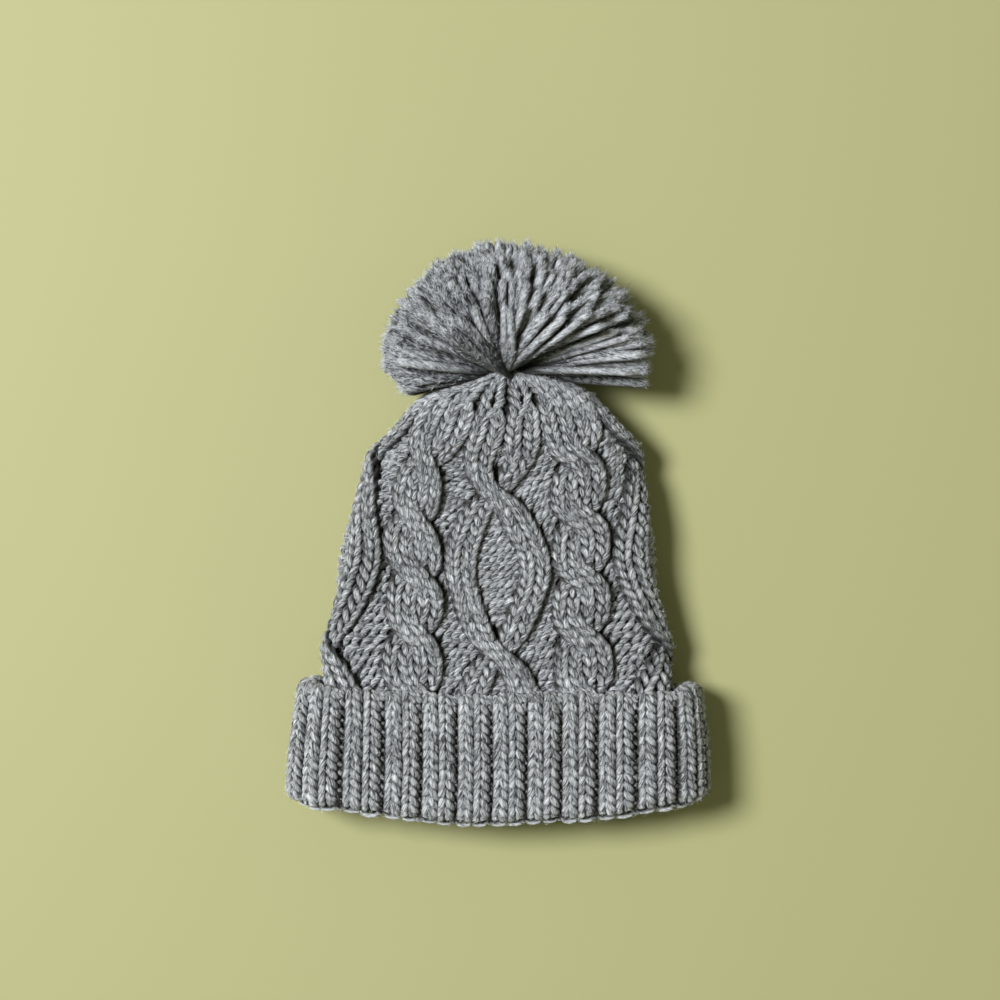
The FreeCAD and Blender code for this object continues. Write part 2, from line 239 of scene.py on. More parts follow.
class Yarns:
    """Tubes of yarn gathered into one mesh.

    Each point keeps its place in its yarn, a tone from dark to light, which in the pom also holds painted
    light and shade, and how much painted shade it takes for lying deep in a crevice."""

    def __init__(self, twist=16.0, groove=0.05):
        self.co, self.yarn, self.tone, self.deep, self.out, self.way = [], [], [], [], [], []
        self.quads, self.tris = [], []
        self.count = 0
        self.twist, self.groove = twist, groove

    def keep(self, co, yarn, tone, deep, out, way):
        """Stores points, with the direction out of the yarn and along it at each."""
        self.co.append(co)
        self.yarn.append(yarn)
        self.tone.append(tone)
        self.deep.append(deep)
        self.out.append(out)
        self.way.append(way)
        self.count += len(co)

    def add(self, line, up, radius, sides, closed, tone=0.5, start=0.0, sink=0.0):
        """A tube of plied yarn. Its last argument is how far its line lies below the top of its stitch,
        which sets how much painted shade it takes.
        """
        n = len(line)
        ahead = np.roll(line, -1, 0) - np.roll(line, 1, 0) if closed else np.gradient(line, axis=0)
        t = unit(ahead)
        b = unit(np.cross(t, up))
        c = np.cross(b, t)
        step = np.linalg.norm(np.diff(line, axis=0), axis=1)
        run = np.concatenate([[0], np.cumsum(step)])
        total = run[-1] + (np.linalg.norm(line[0] - line[-1]) if closed else 0)
        turns = total / self.twist
        if closed:
            turns = max(1, round(turns))
        a = np.arange(sides) * TAU / sides
        turned = a[None, :] - TAU * turns * (run / total)[:, None]
        r = np.broadcast_to(np.asarray(radius, float), (n,))[:, None]
        r = r * (1 + self.groove * np.cos(PLIES * turned))
        ring = line[:, None, :] + (r * np.cos(a))[..., None] * c[:, None, :]
        ring = ring + (r * np.sin(a))[..., None] * b[:, None, :]
        out = unit(ring - line[:, None, :]).reshape(-1, 3)
        ring[..., 2] = np.maximum(ring[..., 2], FLOOR_GAP)
        along = np.broadcast_to((run + start)[:, None], turned.shape)
        yarn = np.stack([np.cos(turned), np.sin(turned), along], -1).reshape(-1, 3)
        tones = np.broadcast_to(np.asarray(tone, float).reshape(-1, 1), (n, sides))
        # Painted shade: the further a point lies below the top of its stitch, the darker its colour, for
        # the shade in the crevices.
        below = np.broadcast_to(np.asarray(sink, float), (n,))[:, None] + r * (1 - np.cos(a))
        deep = np.clip(below / (0.82 * r) - 0.27, 0, 1)
        first = self.count
        way = np.broadcast_to(t[:, None, :], ring.shape).reshape(-1, 3)
        self.keep(ring.reshape(-1, 3), yarn, tones.reshape(-1), deep.reshape(-1), out, way)
        i = np.arange(n if closed else n - 1)[:, None]
        j = np.arange(sides)[None, :]
        i2, j2 = (i + 1) % n, (j + 1) % sides
        quads = np.stack([i * sides + j, i * sides + j2, i2 * sides + j2, i2 * sides + j], -1)
        self.quads.append(quads.reshape(-1, 4) + first)
        if not closed:
            for end, sign in ((0, -1), (n - 1, 1)):
                # Known flaw: the far rim is counted one point on, so it takes in the near end's tip.
                rim = self.count - n * sides + end * sides + np.arange(sides)
                fan = np.stack([rim, np.roll(rim, -1), np.full(sides, self.count)], -1)
                self.tris.append(fan if sign > 0 else fan[:, ::-1])
                tip = line[end] + t[end] * float(r[end].mean()) * (0.35 * sign)
                place = np.array([[0.0, 0.0, run[end] + start]])
                along_end = t[end:end + 1]
                self.keep(tip[None, :], place, tones[end, :1], deep[end, :1], along_end * sign, along_end)

    def hairs(self, root, up, along, long, r, thin, rise, yarn, tone):
        """Fine fibres: thin three-sided spikes that start at root, run along and lift off a little."""
        n = len(root)
        side = np.cross(up, along)
        size = long * r.uniform(0.45, 1.3, (n, 1))
        lean = unit(along + rise * r.uniform(0.2, 1.4, (n, 1)) * up + 0.5 * r.normal(size=(n, 1)) * side)
        curl = 0.22 * size * r.normal(size=(n, 3))
        middle = root + 0.5 * size * lean + 0.1 * size * up + 0.2 * curl
        pts = np.stack([root - 0.3 * up, middle, root + size * lean + curl], 1)
        a = np.arange(3) * TAU / 3
        across = unit(np.cross(lean, up + 0.01))
        other = np.cross(lean, across)
        spoke = (np.cos(a)[None, None, :, None] * across[:, None, None, :]
                 + np.sin(a)[None, None, :, None] * other[:, None, None, :])
        ring = pts[:, :2, None, :] + thin * spoke
        co = np.concatenate([ring.reshape(n, 6, 3), pts[:, 2:]], 1).reshape(-1, 3)
        co[:, 2] = np.maximum(co[:, 2], FLOOR_GAP / 2)
        base = self.count + np.arange(n)[:, None] * HAIR_POINTS
        j = np.arange(3)[None, :]
        j2 = (j + 1) % 3
        self.quads.append(np.stack([base + j, base + j2, base + 3 + j2, base + 3 + j], -1).reshape(-1, 4))
        self.tris.append(np.stack([base + 3 + j, base + 3 + j2, base + 6 + 0 * j], -1).reshape(-1, 3))
        yarn = np.repeat(yarn + r.normal(0, 0.4, (n, 3)), HAIR_POINTS, 0)
        none = np.zeros((n * HAIR_POINTS, 3))
        self.keep(co, yarn, np.repeat(tone, HAIR_POINTS), none[:, 0], none, none)

    def fuzz(self, count, long, seed, thin=0.06, rise=0.5, painted_shade_limit=0.26, ahead=False):
        """Loose fibres that stand off the open parts of the yarn, most of them light and some dark."""
        r = np.random.default_rng(seed)
        co, out, way = (np.concatenate(a) for a in (self.co, self.out, self.way))
        deep, yarn = np.concatenate(self.deep), np.concatenate(self.yarn)
        # Fibres start only where the painted shade is light, on the open parts of the yarn.
        pick = r.choice(np.flatnonzero(deep < painted_shade_limit), count)
        along = way[pick] * (1.0 if ahead else np.sign(r.normal(size=(count, 1))))
        tone = np.where(r.uniform(size=count) < 0.72, 1.05, 0.1) + 0.2 * r.normal(size=count)
        self.hairs(co[pick], out[pick], along, long, r, thin, rise, yarn[pick], tone)

    def triangles(self):
        return 2 * sum(len(q) for q in self.quads) + sum(len(t) for t in self.tris)

    def build(self, name, material):
        tris = np.concatenate(self.tris) if self.tris else np.zeros((0, 3), int)
        co, quads, yarn, tone, deep = (
            np.concatenate(a) for a in (self.co, self.quads, self.yarn, self.tone, self.deep))
        return build_mesh(name, co, quads, tris, material, yarn, tone, deep)


def build_mesh(name, co, quads, tris, material, yarn=None, tone=None, deep=None):
    mesh = bpy.data.meshes.new(name)
    mesh.vertices.add(len(co))
    mesh.vertices.foreach_set("co", (co * MM).astype(np.float32).ravel())
    loops = np.concatenate([quads.ravel(), tris.ravel()]).astype(np.int32)
    mesh.loops.add(len(loops))
    mesh.loops.foreach_set("vertex_index", loops)
    starts = np.concatenate([np.arange(len(quads)) * 4, len(quads) * 4 + np.arange(len(tris)) * 3])
    mesh.polygons.add(len(starts))
    mesh.polygons.foreach_set("loop_start", starts.astype(np.int32))
    mesh.polygons.foreach_set("use_smooth", np.ones(len(starts), bool))
    mesh.update(calc_edges=True)
    mesh.validate()
    if yarn is not None:
        places = mesh.attributes.new("yarn", "FLOAT_VECTOR", "POINT")
        places.data.foreach_set("vector", yarn.astype(np.float32).ravel())
        # The deep attribute carries each point's painted shade into the material.
        for label, values in (("tone", tone), ("deep", deep)):
            numbers = mesh.attributes.new(label, "FLOAT", "POINT")
            numbers.data.foreach_set("value", values.astype(np.float32))
    mesh.materials.append(material)
    obj = bpy.data.objects.new(name, mesh)
    bpy.context.scene.collection.objects.link(obj)
    return obj


# ---------------- materials


def new_material(name, roughness):
    material = bpy.data.materials.new(name)
    material.use_nodes = True
    bsdf = material.node_tree.nodes["Principled BSDF"]
    bsdf.inputs["Roughness"].default_value = roughness
    return material, bsdf


def add_ramp(material, low, high, dark, light, source):
    """A colour from dark, where source is low, to light, where it is high."""
    ramp = material.node_tree.nodes.new("ShaderNodeValToRGB")
    ramp.color_ramp.elements[0].position = low
    ramp.color_ramp.elements[0].color = (*dark, 1)
    ramp.color_ramp.elements[1].position = high
    ramp.color_ramp.elements[1].color = (*light, 1)
    material.node_tree.links.new(source, ramp.inputs["Fac"])
    return ramp.outputs["Color"]


def add_bump(material, bsdf, strength, distance, height):
    bump = material.node_tree.nodes.new("ShaderNodeBump")
    bump.inputs["Strength"].default_value = strength
    bump.inputs["Distance"].default_value = distance
    material.node_tree.links.new(height, bump.inputs["Height"])
    material.node_tree.links.new(bump.outputs["Normal"], bsdf.inputs["Normal"])


def wool(name, dark, light, low=0.418, high=0.655, fibre=1.0):
    """Heather wool: streaks and flecks that follow the ply of each yarn, with painted shade in the
    crevices.
    """
    material, bsdf = new_material(name, 0.92)
    nodes, links = material.node_tree.nodes, material.node_tree.links
    bsdf.inputs["Sheen Weight"].default_value = 0.2
    bsdf.inputs["Sheen Roughness"].default_value = 0.45
    bsdf.inputs["Specular IOR Level"].default_value = 0.25

    def attribute(label):
        node = nodes.new("ShaderNodeAttribute")
        node.attribute_name = label
        return node.outputs

    def noise(scale, detail, rough, stretch):
        mapping = nodes.new("ShaderNodeMapping")
        mapping.inputs["Scale"].default_value = (1, 1, stretch)
        tex = nodes.new("ShaderNodeTexNoise")
        tex.inputs["Scale"].default_value = scale
        tex.inputs["Detail"].default_value = detail
        tex.inputs["Roughness"].default_value = rough
        links.new(place, mapping.inputs["Vector"])
        links.new(mapping.outputs["Vector"], tex.inputs["Vector"])
        return tex.outputs["Fac"]

    def calc(operation, *terms):
        node = nodes.new("ShaderNodeMath")
        node.operation = operation
        for socket, term in zip(node.inputs, terms):
            if isinstance(term, (int, float)):
                socket.default_value = term
            else:
                links.new(term, socket)
        return node.outputs[0]

    place = attribute("yarn")["Vector"]
    tone = attribute("tone")["Fac"]
    streak = noise(2.6, 4.0, 0.66, 0.09)
    fine = noise(5.0, 3.0, 0.7, 0.06)
    fleck = noise(1.1, 2.0, 0.5, 0.3)
    mix = calc("MULTIPLY_ADD", streak, 0.6, calc("MULTIPLY", fine, 0.4))
    mix = calc("MULTIPLY_ADD", calc("SUBTRACT", fleck, 0.5), 0.29, mix)
    mix = calc("MULTIPLY_ADD", calc("SUBTRACT", tone, 0.5), 0.35, mix)
    colour = add_ramp(material, low, high, dark, light, mix)
    # Painted shade: the deep attribute darkens the colour in the crevices.
    shade = calc("MULTIPLY_ADD", attribute("deep")["Fac"], -0.97, 1.0)
    scaled = nodes.new("ShaderNodeVectorMath")
    scaled.operation = "SCALE"
    links.new(colour, scaled.inputs[0])
    links.new(shade, scaled.inputs["Scale"])
    links.new(scaled.outputs["Vector"], bsdf.inputs["Base Color"])
    height = calc("MULTIPLY_ADD", streak, 0.6, calc("MULTIPLY", fine, 0.55))
    add_bump(material, bsdf, 0.9, 0.0014 * fibre, height)
    return material


def plain_wool(name, dark, light):
    """Dark, dull wool for the walls under the stitches: painted shade for the dark seen between them."""
    material, bsdf = new_material(name, 0.95)
    nodes, links = material.node_tree.nodes, material.node_tree.links
    coord = nodes.new("ShaderNodeTexCoord")
    tex = nodes.new("ShaderNodeTexNoise")
    tex.inputs["Scale"].default_value = 700
    tex.inputs["Detail"].default_value = 3
    links.new(coord.outputs["Object"], tex.inputs["Vector"])
    colour = add_ramp(material, 0.35, 0.7, dark, light, tex.outputs["Fac"])
    links.new(colour, bsdf.inputs["Base Color"])
    add_bump(material, bsdf, 0.6, 0.001, tex.outputs["Fac"])
    return material


DARK, LIGHT = (0.033, 0.038, 0.047), (0.893, 0.937, 1.0)
cable_wool = wool("cable_wool", DARK, LIGHT)
rib_wool = wool("rib_wool", DARK, LIGHT)
tie_wool = wool("tie_wool", DARK, LIGHT)
pom_wool = wool("pom_wool", DARK, (0.768, 0.808, 0.88), 0.40, 0.67, 0.8)
# Painted shade: the walls under the stitches are coloured dark for the shade there.
painted_shade_wool = plain_wool("painted_shade_wool", (0.06, 0.063, 0.068), (0.14, 0.147, 0.155))


# ---------------- knitting

# What the columns of stitches are at a place v: each field takes columns and places and gives their
# middle, kind (1 for knit, -1 for purl), height and width. swell rounds a rib or cable across.
Columns = namedtuple("Columns", "place kind base wide swell")


def meeting_places(middle, width, period):
    """Where each column meets those on its left and right, shared out by their widths."""
    left_middle, left_width = np.roll(middle, 1, 0), np.roll(width, 1, 0)
    left_middle = left_middle + np.round((middle - left_middle) / period) * period
    left = (middle * left_width + left_middle * width) / (width + left_width)
    right = np.roll(left, -1, 0)
    return left, right + np.round((middle - right) / period) * period


def knit_row(r, columns, points, slant, reach, deep, seed, order, period, tilt=0.24, head=2.3):
    """The path of one row of loops round the hat. order lists the columns that it passes, in turn.

    Each loop runs from its left foot over its head to its right foot. reach is
    half its height in rows, deep how far it weaves in and out, and head how far a purl's head drops.
    Gives each point's place, height, kind and width, and how far it is below its stitch's top, which sets
    its painted shade."""
    n = len(order)
    t = (np.arange(points) * TAU / points)[None, :]
    col = np.asarray(order)[:, None]
    jit = np.random.default_rng(seed)
    wave = (1 - np.cos(t)) / 2
    own = columns.kind(col, np.full((n, 1), float(r)))
    purl = np.where(own < 0, 1.0, 0.0)
    tall = reach * (1 + 0.05 * jit.normal(0, 1, (n, 1)))
    v = r - (tall * wave + reach * (1 - wave)) * np.cos(t) + tilt * purl * np.sin(2 * t)
    foot = np.full((n, 1), r - reach)
    w = columns.wide(col, np.full_like(v, r))
    x = columns.place(col, v) + w / 2 * (t / math.pi - 1)

    # Neighbouring feet meet at one point, between the two in kind and height.
    middle = columns.place(col, foot)
    left, right = meeting_places(middle, columns.wide(col, foot), period)
    hold = np.where(own > 0, 0.3, 0.5) * math.pi
    near = 1 - ease(t, 0, hold)
    far = ease(t, TAU - hold, TAU)
    x = x + near * (left - (middle - w / 2)) + far * (right - (middle + w / 2))
    s_left = np.roll(own, 1, 0) + own
    s_left = np.where(s_left == 0, 0.5, s_left / 2)
    s_right = np.roll(s_left, -1, 0)
    s = own + near * (s_left - own) + far * (s_right - own)
    b = columns.base(col, v)
    b0 = columns.base(col, foot)
    b_before = np.roll(b0, 1, 0)
    mixed = np.roll(own, 1, 0) * own < 0
    b_left = (b_before + b0) / 2 + np.where(mixed, 0.25, 0) * np.abs(b_before - b0)
    b_right = np.roll(b_left, -1, 0)
    b = b + near * (b_left - b0) + far * (b_right - b0)

    x = x + np.where(own > 0, 0.225, 0.33) * w * np.sin(2 * t)
    x = x + slant * np.where(own > 0, 1, -0.3) * (v - r)
    x = x + 0.22 * jit.normal(0, 1, (n, 1)) * wave
    if columns.swell is not None:
        b = b + columns.swell(col, x, v)
    weave = -deep * np.cos(2 * t) + 2.08 * np.sin(t) ** 2 * np.cos(t)
    h = b + s * weave - head * purl * np.cos(t) + 0.3 * jit.normal(0, 1, (n, 1)) * wave
    return x, v, h, own + 0 * v, w + 0 * v, b + deep - h


def lay_row(yarns, skin, x, v, h, radius, sides, row, tone, sink):
    line, up = skin.at(x.ravel(), v.ravel(), h.ravel())
    yarns.add(line, up, radius.ravel(), sides, True, tone=tone, start=row * 137.0, sink=sink.ravel())


def even_out(radius):
    """A yarn's radius averaged with that of the points three before and three after."""
    flat = radius.ravel()
    return (radius + np.roll(flat, 3).reshape(radius.shape) + np.roll(flat, -3).reshape(radius.shape)) / 3


def place_piece(obj, body, nodes):
    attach(obj, body)
    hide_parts(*nodes)


# ---- the cable pattern of the crown. A repeat has ten purl columns: 0 and 1, then 2 to 4 on the left
# and 5 to 7 on the right of its middle, then 8 and 9. Its eight knit columns come in pairs: A and B are
# the two lines that cross at its middle, and C and D the two strands of the rope cable.
COLUMNS = 18
PURLS = 10
A1, A2, B1, B2, C1, C2, D1, D2 = range(PURLS, COLUMNS)
ROW_STEP = 0.05
ROW_AT = np.arange(-4, CROWN_ROWS + 3, ROW_STEP)

CROSS_ROW, CROSS_ROWS = 4, 18  # where the lines first cross, and the rows to their next crossing
LINE_WIDTH = 8.7
LINE_HIGH = 3.4
ROPE_AT, ROPE_SWING = 45, 7.2  # middle of the rope cable, and how far its strands swing from it
ROPE_ROW, ROPE_ROWS = 2.5, 6
ROPE_END = 26.5
ROPE_HIGH = 3.7
GROUND_PITCH = 4.15  # of the purl columns between the lines
TOP_PITCH = 11.25  # of the knit columns where the purl columns have ended


def crown_tables():
    """Middle, height, width, kind and core of each column of a repeat at the places ROW_AT, and more."""
    v = ROW_AT
    x = np.zeros((COLUMNS, len(v)))
    base = np.zeros_like(x)
    wide = np.zeros_like(x)
    kind = np.ones_like(x)
    core = np.zeros_like(x)
    kind[:PURLS] = -1

    def near(at, size):
        return np.exp(-((v - at) / size) ** 2)

    # The lines cross, open round a lens and cross again, the other one on top.
    turn = math.pi * (v - CROSS_ROW) / CROSS_ROWS
    lens = (np.sin(turn) - np.sin(3 * turn) / 9) / 1.111
    line = 7.0 * np.tanh(3.8 * np.sin(turn)) + 14.0 * lens
    before, after = CROSS_ROW - CROSS_ROWS, CROSS_ROW + CROSS_ROWS
    over = 2.3 * (near(after, 1.7) - near(CROSS_ROW, 1.7) + near(before, 1.7))
    line_w = LINE_WIDTH - 2.0 * (near(CROSS_ROW, 2.0) + near(after, 2.0))
    x[B1], x[B2] = line - line_w / 2, line + line_w / 2
    x[A1], x[A2] = -line - line_w / 2, -line + line_w / 2
    base[B1] = base[B2] = LINE_HIGH + over
    base[A1] = base[A2] = LINE_HIGH - over
    wide[[A1, A2, B1, B2]] = line_w
    core[B1] = core[B2] = line
    core[A1] = core[A2] = -line

    # The rope's two strands swing to and fro, and the one that moves to the left is on top.
    swing_v = np.minimum(v, ROPE_END)
    swing = np.sin(1.4 * np.cos(math.pi * (swing_v - ROPE_ROW) / ROPE_ROWS)) / math.sin(1.4)
    pace = -np.gradient(swing, v)
    pace = pace / np.abs(pace).max()
    rope_w = 7.2 + 0.9 * np.abs(pace)
    c_at, d_at = ROPE_AT + ROPE_SWING * swing, ROPE_AT - ROPE_SWING * swing
    x[C1], x[C2] = c_at - rope_w / 2, c_at + rope_w / 2
    x[D1], x[D2] = d_at - rope_w / 2, d_at + rope_w / 2
    base[C1] = base[C2] = ROPE_HIGH + 2.4 * pace
    base[D1] = base[D2] = ROPE_HIGH - 2.4 * pace
    wide[[C1, C2, D1, D2]] = rope_w
    core[C1] = core[C2] = c_at
    core[D1] = core[D2] = d_at

    # Purl columns 1 to 3 from the middle pass from inside the lens to outside it as the lines close.
    out = np.abs(line)
    inside = [1 / (1 + np.exp(-(out - (k - 0.5) * GROUND_PITCH - 6.5) / 0.6)) for k in (1, 2, 3)]
    edge = out + line_w - 0.8
    count = 2 + sum(1 - w for w in inside)
    rope_edge = 30.6 + 0.8 * (14.4 - ROPE_SWING * np.abs(swing) - rope_w)
    pitch = (rope_edge - edge) / count
    tight = np.clip((4.1 - pitch) / 4.1, 0, 1)
    rank = np.zeros_like(v)
    for k in (1, 2, 3):
        w = inside[k - 1]
        place = w * (k - 0.5) * GROUND_PITCH + (1 - w) * (edge + (rank + 0.5) * pitch)
        x[4 + k] = place
        x[5 - k] = -place
        wide[4 + k] = wide[5 - k] = w * GROUND_PITCH + (1 - w) * pitch
        base[4 + k] = base[5 - k] = -2.3 - (1 - w) * (0.5 + 2.0 * tight)
        rank = rank + 1 - w
    for extra, (left, right) in enumerate(((1, 8), (0, 9))):
        place = edge + (rank + 0.5 + extra) * pitch
        x[right], x[left] = place, -place
        wide[right] = wide[left] = pitch
        base[right] = base[left] = -2.8 - 2.0 * tight

    # Towards the tip the knit columns spread out evenly, and then pairs of them become one.
    even = ease(v, 23.5, 28.5)
    top_places = (-16.9, -5.6, 5.6, 16.9, 28.1, 39.4, 50.6, 61.9)
    for col, place in zip((B1, B2, A1, A2, D1, D2, C1, C2), top_places):
        x[col] = x[col] * (1 - even) + place * even
        base[col] = base[col] * (1 - even)
        wide[col] = wide[col] * (1 - even) + TOP_PITCH * even
    join = ease(v, 30.0, 32.0)
    for a, b, place in ((B1, B2, -11.25), (A1, A2, 11.25), (D1, D2, 33.75), (C1, C2, 56.25)):
        x[a] = x[a] * (1 - join) + place * join
        x[b] = x[b] * (1 - join) + place * join
        wide[a] = wide[a] * (1 - join) + 2 * TOP_PITCH * join
    wide[:PURLS] *= 1 - 0.8 * ease(v, 24, 27.5)
    depth = 7.3 - 3.2 * ease(v, 24, 30)
    return x, base, wide, kind, core, inside, depth, 1 - even


TABLE_X, TABLE_BASE, TABLE_WIDE, TABLE_KIND, TABLE_CORE, INSIDE, DEPTH, ROUNDED = crown_tables()


def table(grid):
    """A function of column and place that reads a table of the crown's."""
    def read(col, v):
        i = np.clip((v - ROW_AT[0]) / ROW_STEP, 0, len(ROW_AT) - 1.001)
        i0 = i.astype(int)
        f = i - i0
        c = col % COLUMNS + np.zeros_like(i0)
        return grid[c, i0] * (1 - f) + grid[c, i0 + 1] * f
    return read


crown_x_of = table(TABLE_X)
crown_base = table(TABLE_BASE)
crown_wide = table(TABLE_WIDE)
crown_kind = table(TABLE_KIND)
crown_core = table(TABLE_CORE)


def crown_place(col, v):
    return crown_x_of(col, v) + (col // COLUMNS) * REPEAT - ROUND / 2


def crown_swell(col, x, v):
    """Cables and lines are round across: their outer loops sit lower than their middle."""
    off = (x - crown_core(col, v) - (col // COLUMNS) * REPEAT + ROUND / 2) / 8.0
    knit = np.where(col % COLUMNS >= PURLS, 1.0, 0.0)
    return (0.6 - 1.7 * np.clip(off * off, 0, 1.4)) * knit * np.interp(v, ROW_AT, ROUNDED)


def crown_order(r):
    """The columns that a row passes, from left to right: all, then knit ones only, then half of those."""
    i = int(round((r - ROW_AT[0]) / ROW_STEP))
    within = [k for k in (1, 2, 3) if INSIDE[k - 1][i] > 0.5]
    without = [k for k in (1, 2, 3) if k not in within]
    left_pair, right_pair = [B1, B2], [A1, A2]
    if TABLE_X[B1, i] > TABLE_X[A1, i]:
        left_pair, right_pair = right_pair, left_pair
    rope = [D1, D2, C1, C2] if TABLE_X[C1, i] > TABLE_X[D1, i] else [C1, C2, D1, D2]
    if r >= 32:
        one = [left_pair[0], right_pair[0], rope[0], rope[2]]
    elif r >= 27:
        one = left_pair + right_pair + rope
    else:
        one = [0, 1] + [5 - k for k in reversed(without)] + left_pair
        one += [5 - k for k in reversed(within)] + [4 + k for k in within]
        one += right_pair + [4 + k for k in without] + [8, 9] + rope
    return [q * COLUMNS + c for q in range(4) for c in one]


def cable_edge_shade(kind):
    """Painted shade: how much darker a row's yarn is coloured where knit and purl columns meet, for the
    shade in the valleys beside the cables.
    """
    across = np.linspace(0, 1, kind.shape[1])[None, :]
    left = np.where(kind * np.roll(kind, 1, 0) < 0, (1 - across) ** 2, 0)
    right = np.where(kind * np.roll(kind, -1, 0) < 0, across ** 2, 0)
    return (left + right) * np.where(kind < 0, 1.25, 0.7)


def held_at(r, read):
    """A table for row r in which the purl columns don't drift within the row."""
    return lambda col, v: read(col, np.where(col % COLUMNS < PURLS, r, v))


def knit_crown():
    skin, keep, keep_at = crown_skin()
    batch, part = Yarns(), 1
    for row in range(-1, CROWN_ROWS):
        r = float(row)
        place, base, wide = (held_at(r, read) for read in (crown_place, crown_base, crown_wide))
        columns = Columns(place, crown_kind, base, wide, crown_swell)
        x, v, h, kind, w, sink = knit_row(r, columns, points=16, slant=-1.5, reach=0.95, deep=2.3,
                                          seed=1000 + row, order=crown_order(r), period=ROUND, tilt=0.34)
        k = np.interp(v, keep_at, keep)
        real = np.clip(w * k / 8.6, 0.2, 1.3)
        knit_radius = 2.04 * np.clip(real, 0, 1.05) ** 0.5
        purl_radius = 1.72 * np.clip(real / 0.48, 0.5, 1.0) ** 0.5
        radius = even_out(np.where(kind > 0, knit_radius, purl_radius))
        thin = np.clip(k * 1.6, 0.35, 1)
        h = h * thin - np.interp(v, ROW_AT, DEPTH) * thin
        # The valleys beside the cables get painted shade too.
        sink = (sink + cable_edge_shade(kind)) * thin
        lay_row(batch, skin, x, v, h, radius, 12, row, 0.515 + 0.03 * rng.normal(), sink)
        if batch.triangles() > MOST_TRIANGLES or row == CROWN_ROWS - 1:
            batch.fuzz(4200, 2.3, 40 + part)
            piece = batch.build(f"cable_knit_{part}", cable_wool)
            place_piece(piece, "crown", ["crown_shell"])
            batch, part = Yarns(), part + 1
    return skin


def wall(name, skin, v_values, h_out, h_in, columns=180):
    """A thin closed wall under the stitches, so no light comes through them; its dark colour is painted
    shade.
    """
    across = skin.p.shape[1] * skin.x_step
    xs = skin.x_low + across * np.arange(columns) / columns
    gx, gv = np.meshgrid(xs, v_values)
    sheets = []
    for h in (h_out, h_in):
        height = np.broadcast_to(np.asarray(h, float).reshape(-1, 1), gx.shape)
        sheets.append(skin.at(gx, gv, height)[0].reshape(-1, 3))
    rows = len(v_values)
    i, j = np.meshgrid(np.arange(rows - 1), np.arange(columns), indexing="ij")
    j2 = (j + 1) % columns
    outer = np.stack([i * columns + j, i * columns + j2, (i + 1) * columns + j2, (i + 1) * columns + j], -1)
    outer = outer.reshape(-1, 4)
    inner_at = rows * columns
    inner = outer[:, ::-1] + inner_at
    jj = np.arange(columns)
    jn = (jj + 1) % columns
    first = np.stack([jj, inner_at + jj, inner_at + jn, jn], -1)
    top = (rows - 1) * columns
    last = np.stack([top + jj, top + jn, inner_at + top + jn, inner_at + top + jj], -1)
    quads = np.concatenate([outer, inner, first, last])
    if skin.outward < 0:
        quads = quads[:, ::-1]
    return build_mesh(name, np.concatenate(sheets), quads, np.zeros((0, 3), int), painted_shade_wool)


crown = knit_crown()
v_back = np.linspace(-1.2, CROWN_ROWS - 1, 90)
d_back = np.interp(v_back, ROW_AT, DEPTH)
d_back = d_back * np.clip(1.6 * np.interp(v_back, [-2, 24, 30, 36], [1, 1, 0.7, 0.2]), 0.3, 1)
place_piece(wall("crown_backing", crown, v_back, -d_back - 1.2, -d_back - 2.0),
            "crown", ["crown_shell"])


# ---- the ribbed cuff, its fold and the band inside it
RIB = 19.0  # width of one rib and its groove
RIBS = 24
RIB_ROUND = RIB * RIBS
KNIT_W, PURL_W = 8.5, 2.0  # widths of a rib's two knit columns, each, and of its purl column
RIB_PHASE = -4.9 + RIB / 2  # from the middle of the front's middle groove to the middle of a rib
RIDGE_ROW = 14  # the row that turns the hem

ROW_PITCH = 5.2  # one row of the cuff
LIP = 5.0  # radius of the cuff's rolled free edge
TURN = 8.7  # radius of its fold at the hem
FACE = 61.0  # length of its straight face, from the free edge to the fold
CUFF_WIDTH = 221.5  # at the free edge
CUFF_SPREAD = 9.0  # how much wider it is at the fold
HEM_BOW = 13.5  # how far the two ends of the hem curve up


def cuff_skin():
    """Outside of the turned-up cuff, from inside its rolled free edge, down its face and round its fold."""
    x_ref = np.arange(-RIB_ROUND / 2, RIB_ROUND / 2, GRID)
    q_step = 0.5
    q = np.arange(-13.5, FACE + TURN * 3.9, q_step)[:, None]
    edge_on = 1 - np.abs(np.abs(x_ref) / (RIB_ROUND / 4) - 1)
    edge_on = ease(np.abs(edge_on), 0.72, 1.0)[None, :]
    roll = LIP + 2.0 * edge_on
    lip = np.clip(-q / roll, 0, 2.75)
    turn = np.clip((q - FACE) / TURN, 0, 3.75)
    inward = roll * (1 - np.cos(lip)) + TURN * (1 - np.cos(turn))
    f = np.clip(q / FACE, 0, 1)
    w = CUFF_WIDTH + CUFF_SPREAD * np.sin(f * math.pi / 2)
    t = CUFF_THICK - 0.6 + 0 * w
    per = stadium_round(w, t)
    s = spread(x_ref[None, :], RIB_ROUND / 4, per, np.ones_like(per))
    x, z = stadium(s, w, t, CUFF_THICK / 2 + 0 * w, inward)
    x_top, _ = stadium(s, w, t, CUFF_THICK / 2 + 0 * w)
    out = np.clip(np.abs(x_top) / 104.0, 0, 1)
    top = CUFF_TOP - LIP - 1.6 + np.where(x_top < 0, 6.8, 2.8) * out ** 2.4
    hem = HEM_Y + 0.7 + TURN * 0.8 + HEM_BOW * (x_top / 113.0) ** 2 - 3.0 * ease(np.abs(x_top), 86, 110)
    y = top + (hem - top) * f + roll * np.sin(lip) - TURN * 0.8 * np.sin(turn)
    x = x + 1.2 * (1 - f)
    pts = soft_warp(np.stack([x, y, z], -1), 0.8, 5)
    pts[..., 2] = np.clip(pts[..., 2], 0.2, CUFF_THICK + 1.5)
    return Skin(pts, x_ref[0], GRID, (q[0, 0] + 1) / ROW_PITCH, q_step / ROW_PITCH, -1)


